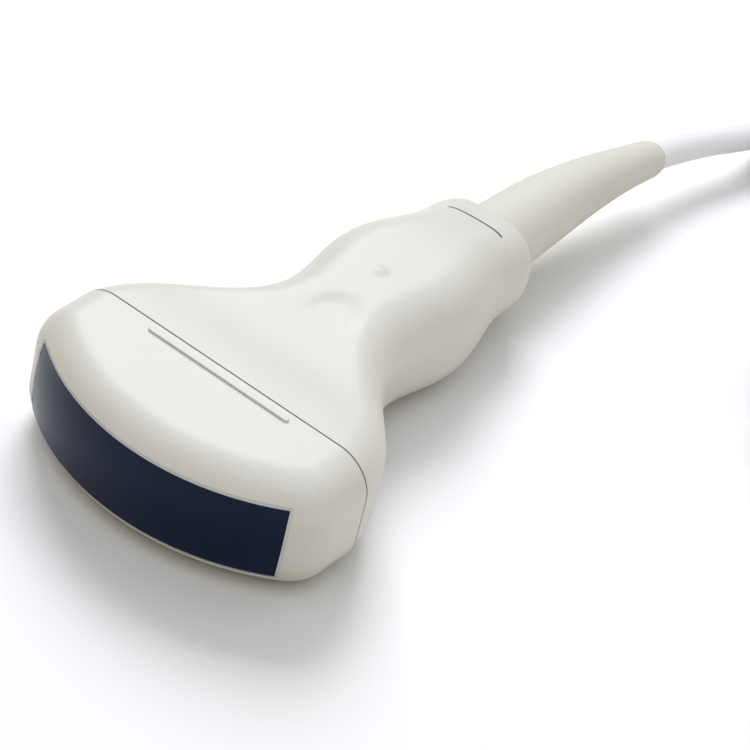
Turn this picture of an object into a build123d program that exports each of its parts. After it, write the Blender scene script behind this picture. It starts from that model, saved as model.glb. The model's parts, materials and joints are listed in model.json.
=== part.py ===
from build123d import *
from functools import lru_cache
from math import asin, cos, degrees, pi, radians, sin, sqrt, tan
import os

# Convex ultrasound transducer probe with its cable, put-away coil and system connector.
#
# Sizes are millimetres. The probe is modelled about its own axis: X across the fan, Y from the
# crown of the lens (y = 0) towards the cable, Z up from the closing plane of the two grip shells.
# Every piece is moved to the part's frame as it is written: origin at the bottom centre of the
# probe, Z up.

# Acoustic lens: a band of silicone, round along the fan and slightly crowned across it
LENS_RADIUS = 51.5
LENS_HALF_ANGLE = 37.3
LENS_HEIGHT = 16.4
LENS_CROWN = 0.55
LENS_THICKNESS = 1.6
BEAD_WIDTH = 0.6
BEAD_DEPTH = 0.12

# Moulded nose
NOSE_WIDTH = 73.0
NOSE_THICKNESS = 26.2
NOSE_CORNER_RADIUS = 10.0
NOSE_EDGE_RADIUS = 8.2
WALL = 2.2
SEAM_Y = 28.0
SEAM_GAP = 0.4
SEAM_DEPTH = 0.3
SPIGOT_THICKNESS = 1.2
SPIGOT_REACH = 4.0
FIT_GAP = 0.15

# Marker rib on the nose and touch nub on the grip
RIB_LENGTH = 35.0
RIB_WIDTH = 1.3
RIB_HEIGHT = 0.5
RIB_TO_SEAM = 2.5
NUB_RADIUS = 2.3
NUB_HEIGHT = 0.45
NUB_Y = 76.5

# Thumb hollow: an ellipsoid scoop ahead of the nub, steep at its rear and fading out to the front
THUMB_Y = 62.6
THUMB_FLOOR = 11.0
THUMB_HALF_WIDTH = 14.0
THUMB_HALF_HEIGHT = 10.0
THUMB_REACH_REAR = 11.8
THUMB_REACH_FRONT = 44.7

# Grip: stations behind the seam, each with its width, thickness and edge radius
SHOULDER_Y = 39.0
SHOULDER = (65.2, 23.9, 8.4)
HOLLOW_Y = 52.4
HOLLOW = (44.4, 22.5, 9.3)
WAIST_Y = 65.8
WAIST = (32.0, 24.4, 10.3)
PALM_Y = 79.0
PALM = (33.8, 25.9, 10.0)
BELLY_Y = 94.5
BELLY = (33.0, 25.6, 10.2)
TAPER_Y = 108.0
TAPER = (27.4, 22.4, 10.2)
GRIP_END_Y = 119.3
GRIP_END = (20.6, 19.0, 9.0)
GRIP_END_ROUND = 4.0

# Lip and groove where the two grip shells close
LIP_HEIGHT = 1.2
LIP_THICKNESS = 0.9

# Array stack behind the lens, from the front
BOND = 0.05
OUTER_MATCH = 0.25
INNER_MATCH = 0.30
PIEZO = 0.40
FLEX = 0.15
FLEX_NARROWING = 3.5
ARRAY_HEIGHT = 13.6
ARRAY_MARGIN_ANGLE = 1.2
BACKING_DEPTH = 9.0
CARRIER_FRONT = 6.6
CARRIER_DEPTH = 9.0
CARRIER_WALL = 2.4

# Electronics
BOARD_WIDTH = 17.0
BOARD_LENGTH = 36.0
BOARD_THICKNESS = 1.2
BOARD_SPACING = 9.0
BOARD_FRONT_Y = 62.0
SOCKET_LENGTH = 12.0
SOCKET_WIDTH = 3.6
SHIELD_WALL = 0.3
SHIELD_WIDTH = 20.0
SHIELD_THICKNESS = 15.6
SHIELD_EDGE = 2.5
BULKHEAD = 1.6
WINDOW_WIDTH = 13.6
POST_X = 20.0
POST_Y = 42.0
POST_RADIUS = 2.8
PIN_RADIUS = 1.3
PIN_LENGTH = 3.0

# Cable, strain relief and clamp
CABLE_DIAMETER = 6.4
ARC_SHARE = 0.45
CORD_GAP = 0.1
END_WALL = 4.6
RELIEF_NECK_RADIUS = 6.9
RELIEF_FLANGE_RADIUS = 7.8
RELIEF_FLANGE = 1.8
RELIEF_SEAT = 2.4
RELIEF_STATIONS = ((0.0, 8.8), (14.0, 8.15), (24.6, 7.6), (41.6, 6.2), (57.0, 5.2), (67.9, 4.6))
RELIEF_STRAIGHT = 19.5
RELIEF_BEND = 11.0
RELIEF_BEND_ROLL = -31.25
RELIEF_LIP = 1.2
CLAMP_Y = 104.6
CLAMP_LENGTH = 5.0
CLAMP_WIDTH = 15.0
CLAMP_THICKNESS = 13.0
SCREW_RADIUS = 0.9
SCREW_HEAD_RADIUS = 1.7
SCREW_HEAD = 1.2
SCREW_INSET = 2.0
SCREW_LENGTH = 9.0
BUNDLE_DIAMETER = 5.0

# Free cord, in the part's frame: chosen points from the strain relief to the coil, and from the
# coil to the connector's boot
RUN_ROUTE = (
    (5.9, 103.7, 9.5),
    (10.9, 117.6, 8.2),
    (11.2, 128.0, 5.9),
    (11.6, 136.5, 3.7),
    (12.6, 144.0, 3.2),
)
TAIL_ROUTE = (
    (86.1, 163.7, 16.0),
    (90.6, 155.0, 16.4),
    (92.4, 147.0, 17.4),
    (92.6, 139.0, 19.2),
    (92.0, 131.0, 21.0),
    (92.0, 122.0, 21.0),
)

# Put-away coil of the rest of the cable, as a closed ring: three turns wide and three high
COIL_X = 52.0
COIL_Y = 144.0
COIL_MEAN_RADIUS = 33.0
COIL_COLUMNS = 3
COIL_LAYERS = 3
COIL_EDGE = 2.8

# System connector, lying on its long edge beside the coil, in the part's frame
CASE_LENGTH = 72.0
CASE_DEPTH = 28.0
CASE_HEIGHT = 42.0
CASE_EDGE = 5.0
CASE_FACE_EDGE = 2.0
CASE_WALL = 2.4
BOSS_RADIUS = 4.0
BOSS_INSET = 7.0
INSERT_LENGTH = 46.0
INSERT_HEIGHT = 26.0
INSERT_REACH = 4.0
INSERT_FLANGE = 2.0
INSERT_FLANGE_WIDTH = 1.5
INSERT_EDGE = 3.0
CONTACT_BLOCK_LENGTH = 16.0
CONTACT_BLOCK_HEIGHT = 22.0
CONTACT_BLOCK_DEPTH = 5.0
CONTACT_RECESS = 1.0
CONTACT_ROWS = 4
CONTACT_COLUMNS = 6
CONTACT_PITCH = 2.6
CONTACT_WIDTH = 1.2
CONTACT_GROOVE = 0.4
CONNECTOR_BOARD = 1.6
KNOB_RADIUS = 13.0
KNOB_THICKNESS = 7.0
KNOB_WING_LENGTH = 30.0
KNOB_WING_WIDTH = 9.0
KNOB_WING_HEIGHT = 12.0
KNOB_ROUND = 1.5
KNOB_GAP = 0.4
KNOB_SOCKET = 4.0
SHAFT_RADIUS = 4.0
SHAFT_CLEARANCE = 0.05
LOCK_KEY_LENGTH = 12.0
LOCK_KEY_WIDTH = 3.0
LOCK_KEY_DEPTH = 2.0
LOCK_KEY_GAP = 0.4
BOOT_LENGTH = 28.0
BOOT_ROOT_RADIUS = 8.0
BOOT_TIP_RADIUS = 4.6
BOOT_NECK_RADIUS = 6.0
BOOT_FLANGE_RADIUS = 8.5
BOOT_FLANGE = 2.0
BOOT_COLLAR = 5.0
BOOT_GROOVES = 5
BOOT_GROOVE_PITCH = 3.6
BOOT_GROOVE_WIDTH = 1.4
BOOT_GROOVE_DEPTH = 1.0
CASE_SCREW_RADIUS = 1.4
CASE_SCREW_HEAD_RADIUS = 2.5
CASE_SCREW_HEAD = 1.8
CASE_SCREW_LENGTH = 18.0

NOSE_HALF = NOSE_THICKNESS / 2
CABLE_RADIUS = CABLE_DIAMETER / 2
LENS_CENTRE_Y = LENS_RADIUS
FRONT_OF_SEAM = SEAM_Y - SEAM_GAP / 2
BACK_OF_SEAM = SEAM_Y + SEAM_GAP / 2
BOARD_REAR_Y = BOARD_FRONT_Y + BOARD_LENGTH
BOARD_FACE = BOARD_SPACING / 2 + BOARD_THICKNESS / 2
CLAMP_REAR_Y = CLAMP_Y + CLAMP_LENGTH
CAVITY_END_Y = GRIP_END_Y - END_WALL
RELIEF_SEAT_Y = CAVITY_END_Y + RELIEF_SEAT
SPIGOT_INSET = WALL + FIT_GAP
CASE_X = TAIL_ROUTE[-1][0]
CASE_Y = TAIL_ROUTE[-1][1] - BOOT_LENGTH - CASE_LENGTH / 2
CASE_Z = CASE_HEIGHT / 2
BIG = 400.0

pieces = {}


def slab(front, rear, low=-BIG / 2, high=BIG / 2):
    """Box across the whole probe between two stations and two heights."""
    box = Box(BIG, rear - front, high - low)
    return Pos(0, (front + rear) / 2, (low + high) / 2) * box


def nose_plan(inset, rear):
    """Plan outline of the nose: lens arc, two corner arcs and straight sides back to a station."""
    radius = LENS_RADIUS - inset
    half = NOSE_WIDTH / 2 - inset
    corner = NOSE_CORNER_RADIUS - inset
    corner_x = half - corner
    corner_y = LENS_CENTRE_Y - sqrt((radius - corner) ** 2 - corner_x**2)
    turn = asin(corner_x / (radius - corner))
    middle = (turn + radians(90)) / 2
    front = (radius * sin(turn), LENS_CENTRE_Y - radius * cos(turn))
    knee = (corner_x + corner * sin(middle), corner_y - corner * cos(middle))
    side = (half, corner_y)
    outline = [
        ThreePointArc((-front[0], front[1]), (0, inset), front),
        ThreePointArc(front, knee, side),
        Line(side, (half, rear)),
        Line((half, rear), (-half, rear)),
        Line((-half, rear), (-side[0], side[1])),
        ThreePointArc((-side[0], side[1]), (-knee[0], knee[1]), (-front[0], front[1])),
    ]
    return make_face(outline)


@lru_cache
def nose_block(inset, rear=SEAM_Y):
    """Solid nose inside the skin, with its long edges rounded."""
    block = extrude(nose_plan(inset, rear), NOSE_HALF - inset, both=True)
    groups = block.edges().group_by(Axis.Z)
    rims = [edge for edge in groups[0] + groups[-1] if edge.center().Y < rear - 0.1]
    return fillet(rims, NOSE_EDGE_RADIUS - inset)


def grip_section(y, size, inset):
    """Rounded cross-section of the grip at a station."""
    width, thickness, edge = size
    face = RectangleRounded(width - 2 * inset, thickness - 2 * inset, edge - inset)
    return Plane(origin=(0, y, 0), x_dir=(1, 0, 0), z_dir=(0, 1, 0)) * face


@lru_cache
def grip_block(inset):
    """Solid grip inside the skin, from just ahead of the seam to the rear rim."""
    nose = (NOSE_WIDTH, NOSE_THICKNESS, NOSE_EDGE_RADIUS)
    stations = [
        (SEAM_Y - 5.0, nose),
        (SEAM_Y, nose),
        (SHOULDER_Y, SHOULDER),
        (HOLLOW_Y, HOLLOW),
        (WAIST_Y, WAIST),
        (PALM_Y, PALM),
        (BELLY_Y, BELLY),
        (TAPER_Y, TAPER),
        (GRIP_END_Y, GRIP_END),
    ]
    return loft([grip_section(y, size, inset) for y, size in stations])


def lens_sector(inner, outer, half_angle, half_height):
    """Band about the centre of the lens between two radii."""
    band = Cylinder(outer, 2 * half_height) - Cylinder(inner, 2 * half_height + 1)
    reach = 2 * LENS_RADIUS
    wedge = Polyline(
        (0, 0),
        (-reach * sin(radians(half_angle)), -reach * cos(radians(half_angle))),
        (0, -2.5 * reach),
        (reach * sin(radians(half_angle)), -reach * cos(radians(half_angle))),
        close=True,
    )
    cut = extrude(make_face(wedge), half_height + 1, both=True)
    return Pos(0, LENS_CENTRE_Y, 0) * (band & cut)


def touch_nub():
    """Low dome on the grip's upper face, sunk enough to join it."""
    ball = (NUB_RADIUS**2 + NUB_HEIGHT**2) / (2 * NUB_HEIGHT)
    crown = PALM[1] / 2 + NUB_HEIGHT
    dome = Pos(0, NUB_Y, crown - ball) * Sphere(ball)
    return dome & slab(0, BIG / 2, PALM[1] / 2 - 1.0, BIG / 2)


def thumb_scoop(inset):
    """Two half ellipsoids that meet at the deepest line of the thumb hollow, grown by the inset."""
    wide = THUMB_HALF_WIDTH + inset
    high = THUMB_HALF_HEIGHT + inset
    front = scale(Sphere(1), by=(wide, THUMB_REACH_FRONT + inset, high)) & slab(-BIG, 0)
    rear = scale(Sphere(1), by=(wide, THUMB_REACH_REAR + inset, high)) & slab(0, BIG)
    place = Pos(0, THUMB_Y, THUMB_FLOOR + THUMB_HALF_HEIGHT)
    return place * front, place * rear


def make_nose():
    """Nose shell with its lens window, marker rib and spigot, then the lens and its bead."""
    skin = nose_block(0) & slab(-BIG / 2, FRONT_OF_SEAM)
    shell = skin - nose_block(WALL, SEAM_Y + 1)
    deep = LENS_RADIUS - WALL - 2
    bead_angle = LENS_HALF_ANGLE + degrees(BEAD_WIDTH / LENS_RADIUS)
    window = lens_sector(deep, LENS_RADIUS + 1, bead_angle, LENS_HEIGHT / 2 + BEAD_WIDTH)
    shell -= window

    inner_spigot = SPIGOT_INSET + SPIGOT_THICKNESS
    root = nose_block(WALL - 0.4, SEAM_Y + 1) - nose_block(inner_spigot, SEAM_Y + 2)
    shell += root & slab(SEAM_Y - SPIGOT_REACH, FRONT_OF_SEAM)
    spigot = grip_block(SPIGOT_INSET) - grip_block(inner_spigot)
    shell += spigot & slab(SEAM_Y - SPIGOT_REACH / 2, SEAM_Y + SPIGOT_REACH)

    rib = extrude(SlotOverall(RIB_LENGTH, RIB_WIDTH), RIB_HEIGHT + 0.5)
    rib = fillet(rib.faces().sort_by(Axis.Z)[-1].edges(), RIB_HEIGHT / 2)
    shell += Pos(0, SEAM_Y - RIB_TO_SEAM, NOSE_HALF - 0.5) * rib
    pieces["nose_shell"] = shell

    half = LENS_HEIGHT / 2
    edge = LENS_RADIUS - LENS_CROWN
    back = LENS_RADIUS - LENS_THICKNESS
    crown = ThreePointArc((edge, -half), (LENS_RADIUS, 0), (edge, half))
    rest = Polyline((edge, half), (back, half), (back, -half), (edge, -half))
    profile = Plane.XZ * make_face([crown, *rest.edges()])
    lens = revolve(profile, Axis.Z, 2 * LENS_HALF_ANGLE)
    pieces["acoustic_lens"] = Pos(0, LENS_CENTRE_Y, 0) * Rot(0, 0, -90 - LENS_HALF_ANGLE) * lens

    filled = lens_sector(deep, LENS_RADIUS + 1, LENS_HALF_ANGLE, half)
    pieces["lens_bead"] = (nose_block(BEAD_DEPTH) & window) - filled - nose_block(WALL, SEAM_Y + 1)

    ring = nose_block(SEAM_DEPTH, SEAM_Y + 1) - nose_block(WALL, SEAM_Y + 2)
    pieces["seam_gasket"] = ring & slab(FRONT_OF_SEAM, BACK_OF_SEAM)


def make_array():
    """Array stack behind the lens, its carrier and the two flexible circuits."""
    array_angle = LENS_HALF_ANGLE - ARRAY_MARGIN_ANGLE
    front = LENS_RADIUS - LENS_THICKNESS - BOND
    layers = (
        ("matching_layer_outer", OUTER_MATCH),
        ("matching_layer_inner", INNER_MATCH),
        ("piezo_array", PIEZO),
        ("backing_block", BACKING_DEPTH),
    )
    for name, depth in layers:
        pieces[name] = lens_sector(front - depth, front, array_angle, ARRAY_HEIGHT / 2)
        front -= depth + BOND

    flex_face = ARRAY_HEIGHT / 2 + BOND
    backing_front = front + BACKING_DEPTH + BOND
    tail_angle = radians(array_angle - FLEX_NARROWING)
    rear_x = (backing_front - BACKING_DEPTH) * sin(tail_angle)
    rear_y = LENS_CENTRE_Y - (backing_front - BACKING_DEPTH) * cos(tail_angle)
    fan = lens_sector(backing_front - BACKING_DEPTH - 1, backing_front, array_angle, FLEX / 2)
    half_tail = SOCKET_LENGTH / 2
    tail = Polyline(
        (-rear_x, rear_y),
        (-half_tail, BOARD_FRONT_Y),
        (-half_tail, BOARD_FRONT_Y + SOCKET_WIDTH + BULKHEAD + 1),
        (half_tail, BOARD_FRONT_Y + SOCKET_WIDTH + BULKHEAD + 1),
        (half_tail, BOARD_FRONT_Y),
        (rear_x, rear_y),
        (0, LENS_CENTRE_Y - backing_front + BACKING_DEPTH / 2),
        close=True,
    )
    wing = fan + extrude(make_face(tail), FLEX / 2, both=True)
    pieces["flex_circuit_upper"] = Pos(0, 0, flex_face + FLEX / 2) * wing
    pieces["flex_circuit_lower"] = Pos(0, 0, -flex_face - FLEX / 2) * wing

    outer = LENS_RADIUS - CARRIER_FRONT
    pocket_angle = array_angle + 0.3
    carrier_angle = pocket_angle + degrees(CARRIER_WALL / outer)
    carrier = lens_sector(outer - CARRIER_DEPTH, outer, carrier_angle, NOSE_HALF)
    carrier &= nose_block(WALL + FIT_GAP, SEAM_Y + 1)
    pocket_half = flex_face + FLEX + BOND
    pocket = lens_sector(outer - CARRIER_DEPTH - 1, outer + 1, pocket_angle, pocket_half)
    pieces["array_carrier"] = carrier - pocket


def make_electronics():
    """Two interconnect boards with their sockets and spacer, inside a shield can."""
    socket_height = ARRAY_HEIGHT / 2 - BOARD_FACE
    board_y = (BOARD_FRONT_Y + BOARD_REAR_Y) / 2
    socket_y = BOARD_FRONT_Y + BULKHEAD + 1 + SOCKET_WIDTH / 2
    for name, side in (("upper", 1), ("lower", -1)):
        board = Box(BOARD_WIDTH, BOARD_LENGTH, BOARD_THICKNESS)
        pieces[f"board_{name}"] = Pos(0, board_y, side * BOARD_SPACING / 2) * board
        socket = Box(SOCKET_LENGTH, SOCKET_WIDTH, socket_height)
        place = Pos(0, socket_y, side * (BOARD_FACE + socket_height / 2))
        pieces[f"board_socket_{name}"] = place * socket
    gap = BOARD_SPACING - BOARD_THICKNESS
    spacer = Box(SOCKET_LENGTH, SOCKET_WIDTH, gap)
    pieces["board_link"] = Pos(0, BOARD_REAR_Y - 3 * BULKHEAD - SOCKET_WIDTH, 0) * spacer

    length = BOARD_LENGTH - 2 * BULKHEAD - 2 * FIT_GAP
    outer = RectangleRounded(SHIELD_WIDTH, SHIELD_THICKNESS, SHIELD_EDGE)
    inner = RectangleRounded(
        SHIELD_WIDTH - 2 * SHIELD_WALL,
        SHIELD_THICKNESS - 2 * SHIELD_WALL,
        SHIELD_EDGE - SHIELD_WALL,
    )
    can = extrude(Plane.XZ * (outer - inner), length / 2, both=True)
    pieces["shield_can"] = Pos(0, board_y, 0) * can


def rod(radius, front, rear):
    """Round bar along the probe's axis between two stations."""
    return Pos(0, (front + rear) / 2, 0) * Cylinder(radius, rear - front, rotation=(90, 0, 0))


def grip_bays():
    """Hollow bays of the grip, with cross walls left between them for the boards and the clamp."""
    inner = grip_block(WALL)
    stops = (
        (0, BOARD_FRONT_Y),
        (BOARD_FRONT_Y + BULKHEAD, BOARD_REAR_Y - BULKHEAD),
        (BOARD_REAR_Y, CLAMP_Y - FIT_GAP - BULKHEAD),
        (CLAMP_Y - FIT_GAP, CLAMP_REAR_Y + FIT_GAP),
        (CLAMP_REAR_Y + FIT_GAP + BULKHEAD, CAVITY_END_Y),
    )
    bays = [inner & slab(front, rear) for front, rear in stops]
    for scoop in thumb_scoop(WALL):
        bays[0] -= scoop
        bays[1] -= scoop
    return bays


def wall_openings():
    """Slots for the board ends, windows between the bays and the holes along the cable."""
    tall = ARRAY_HEIGHT + 2 * (FLEX + BOND + 2 * FIT_GAP)
    for middle in (BOARD_FRONT_Y + BULKHEAD / 2, BOARD_REAR_Y - BULKHEAD / 2):
        place = Pos(0, middle, 0)
        yield place * Box(WINDOW_WIDTH, BULKHEAD + 1, tall)
        for side in (-1, 1):
            slot = Box(BOARD_WIDTH + 2 * FIT_GAP, BULKHEAD + 1, BOARD_THICKNESS + 2 * FIT_GAP)
            yield place * Pos(0, 0, side * BOARD_SPACING / 2) * slot
    yield rod(CABLE_RADIUS + 3 * FIT_GAP, CLAMP_Y - 2 * BULKHEAD, CLAMP_REAR_Y + 2 * BULKHEAD)
    yield rod(RELIEF_NECK_RADIUS + CORD_GAP, CAVITY_END_Y - 1, GRIP_END_Y)
    yield rod(RELIEF_STATIONS[0][1] + CORD_GAP, RELIEF_SEAT_Y, GRIP_END_Y + 1)


def make_grip():
    """Upper and lower grip shells with their lip joint, cross walls, weld posts and touch nub."""
    shell = grip_block(0) & slab(BACK_OF_SEAM, BIG / 2)
    shell = fillet(shell.faces().sort_by(Axis.Y)[-1].edges(), GRIP_END_ROUND)
    for scoop in thumb_scoop(0):
        shell -= scoop
    for bay in grip_bays():
        shell -= bay
    for opening in wall_openings():
        shell -= opening

    lip_front = SEAM_Y + SPIGOT_REACH + 1.0
    lip = grip_block(WALL - LIP_THICKNESS) & slab(lip_front, CAVITY_END_Y, 0, LIP_HEIGHT)
    groove = grip_block(WALL - LIP_THICKNESS - FIT_GAP / 2)
    groove &= slab(lip_front - FIT_GAP, CAVITY_END_Y + FIT_GAP, -1, LIP_HEIGHT + FIT_GAP)
    upper = (shell & slab(0, BIG / 2, 0, BIG / 2)) - groove
    lower = (shell & slab(0, BIG / 2, -BIG / 2, 0)) + (shell & lip)

    room = grip_block(WALL - 0.3)
    for side in (-1, 1):
        place = Pos(side * POST_X, POST_Y, 0)
        post = (place * Cylinder(POST_RADIUS, NOSE_THICKNESS)) & room
        upper += post & slab(0, BIG / 2, 0, BIG / 2)
        upper -= place * Cylinder(PIN_RADIUS + FIT_GAP, 2 * (PIN_LENGTH + FIT_GAP))
        lower += post & slab(0, BIG / 2, -BIG / 2, 0)
        lower += place * Pos(0, 0, PIN_LENGTH / 2 - 1) * Cylinder(PIN_RADIUS, PIN_LENGTH + 2)
    pieces["grip_shell_upper"] = upper + touch_nub()
    pieces["grip_shell_lower"] = lower


def relief_plane(distance):
    """Section plane of the strain relief at a distance along its axis from its seat."""
    roll = radians(RELIEF_BEND_ROLL)
    aside = Vector(cos(roll), 0, sin(roll))
    along = Vector(0, 1, 0)
    start = Vector(0, RELIEF_SEAT_Y, 0)
    if distance <= RELIEF_STRAIGHT:
        return Plane(origin=start + along * distance, z_dir=along)
    bend_length = RELIEF_STATIONS[-1][0] - RELIEF_STRAIGHT
    bend_radius = bend_length / radians(RELIEF_BEND)
    angle = (distance - RELIEF_STRAIGHT) / bend_radius
    reach = RELIEF_STRAIGHT + bend_radius * sin(angle)
    spot = start + along * reach + aside * (bend_radius * (1 - cos(angle)))
    return Plane(origin=spot, z_dir=along * cos(angle) + aside * sin(angle))


def relief_axis(front):
    """Centre line from a station in the grip to the tip of the strain relief."""
    length = RELIEF_STATIONS[-1][0]
    knee = relief_plane(RELIEF_STRAIGHT).origin
    middle = relief_plane((RELIEF_STRAIGHT + length) / 2).origin
    tip = relief_plane(length).origin
    return Wire([Edge.make_line((0, front, 0), knee), Edge.make_three_point_arc(knee, middle, tip)])


def tube(path, radius):
    """Round bar along a path."""
    plane = Plane(origin=path @ 0, z_dir=path % 0)
    return sweep(plane * Circle(radius), path=path)


def make_cable_end():
    """Strain relief, the cable inside it, the clamp with its screws and the wire bundle."""
    sections = [relief_plane(distance) * Circle(radius) for distance, radius in RELIEF_STATIONS]
    boot = loft(sections)
    tip = relief_plane(RELIEF_STATIONS[-1][0]).origin
    end = boot.faces().sort_by_distance(tip)[0]
    boot = fillet(end.edges(), RELIEF_LIP)
    boot += rod(RELIEF_NECK_RADIUS, CAVITY_END_Y - CORD_GAP, RELIEF_SEAT_Y + 1)
    flange_rear = CAVITY_END_Y - CORD_GAP
    boot += rod(RELIEF_FLANGE_RADIUS, flange_rear - RELIEF_FLANGE, flange_rear)
    pieces["strain_relief"] = boot - tube(relief_axis(CLAMP_Y), CABLE_RADIUS)
    pieces["cable_lead_in"] = tube(relief_axis(CLAMP_Y - 2 * BULKHEAD), CABLE_RADIUS)

    middle_y = (CLAMP_Y + CLAMP_REAR_Y) / 2
    block = Pos(0, middle_y, 0) * Box(CLAMP_WIDTH, CLAMP_LENGTH, CLAMP_THICKNESS)
    block -= rod(CABLE_RADIUS, CLAMP_Y - 1, CLAMP_REAR_Y + 1)
    seat_z = CLAMP_THICKNESS / 2 - SCREW_HEAD
    for name, side in (("left", -1), ("right", 1)):
        place = Pos(side * (CLAMP_WIDTH / 2 - SCREW_INSET), middle_y, 0)
        hole = Cylinder(SCREW_RADIUS, SCREW_LENGTH)
        head = Cylinder(SCREW_HEAD_RADIUS, SCREW_HEAD)
        shank_place = place * Pos(0, 0, seat_z - SCREW_LENGTH / 2)
        head_place = place * Pos(0, 0, seat_z + SCREW_HEAD / 2)
        screw = shank_place * hole + head_place * head
        pieces[f"clamp_screw_{name}"] = screw
        block -= screw
    pieces["cable_clamp_upper"] = block & slab(0, BIG / 2, 0, BIG / 2)
    pieces["cable_clamp_lower"] = block & slab(0, BIG / 2, -BIG / 2, 0)
    bundle_front = BOARD_REAR_Y - 2 * BULKHEAD
    pieces["coax_bundle"] = rod(BUNDLE_DIAMETER / 2, bundle_front, CLAMP_Y - 2 * BULKHEAD)


def largest_arcs(points):
    """Path of straight runs joined by tangent arcs, each as large as its two runs allow."""
    corners = [Vector(*point) for point in points]
    radii = []
    for before, corner, after in zip(corners, corners[1:], corners[2:]):
        arriving = corner - before
        leaving = after - corner
        turn = radians(arriving.get_angle(leaving))
        radii.append(ARC_SHARE * min(arriving.length, leaving.length) / tan(turn / 2))
    return FilletPolyline(*corners, radius=radii), radii


def coil_ring():
    """The put-away coil as one closed ring lying on the table."""
    half_width = COIL_COLUMNS * CABLE_RADIUS
    height = COIL_LAYERS * CABLE_DIAMETER
    ring = Cylinder(COIL_MEAN_RADIUS + half_width, height)
    ring -= Cylinder(COIL_MEAN_RADIUS - half_width, height)
    ring = fillet(ring.edges().filter_by(GeomType.CIRCLE), COIL_EDGE)
    return Pos(COIL_X, COIL_Y, height / 2) * ring


def make_cord():
    """Coil, and the free stretches of the cable that meet its outside."""
    tip = relief_plane(RELIEF_STATIONS[-1][0]).origin + to_frame.position
    coil = coil_ring()
    cord_pieces["cable_coil"] = coil
    for name, route in (("cable_run", (tuple(tip), *RUN_ROUTE)), ("cable_tail", TAIL_ROUTE)):
        path, radii = largest_arcs(route)
        cord = tube(path, CABLE_RADIUS)
        expected = path.length * pi * CABLE_RADIUS**2
        print(name, "arc radii", [round(radius) for radius in radii], "length", round(path.length, 1))
        print(name, "volume over section times length", round(cord.volume / expected, 5))
        cord_pieces[name] = cord - coil


def case_block(inset):
    """Connector case inside its skin: X is its depth, Y its length, Z its height."""
    length = CASE_LENGTH - 2 * inset
    profile = RectangleRounded(length, CASE_HEIGHT - 2 * inset, CASE_EDGE - inset)
    return extrude(Plane.YZ * profile, CASE_DEPTH / 2 - inset, both=True)


def bar_x(radius, low, high):
    """Round bar along X between two depths."""
    return Pos((low + high) / 2, 0, 0) * Cylinder(radius, high - low, rotation=(0, 90, 0))


def block_x(length, height, low, high, edge=0.0):
    """Rectangular bar along X between two depths, with rounded long edges."""
    if edge:
        profile = RectangleRounded(length, height, edge)
    else:
        profile = Rectangle(length, height)
    return Pos(low, 0, 0) * extrude(Plane.YZ * profile, high - low)


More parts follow.
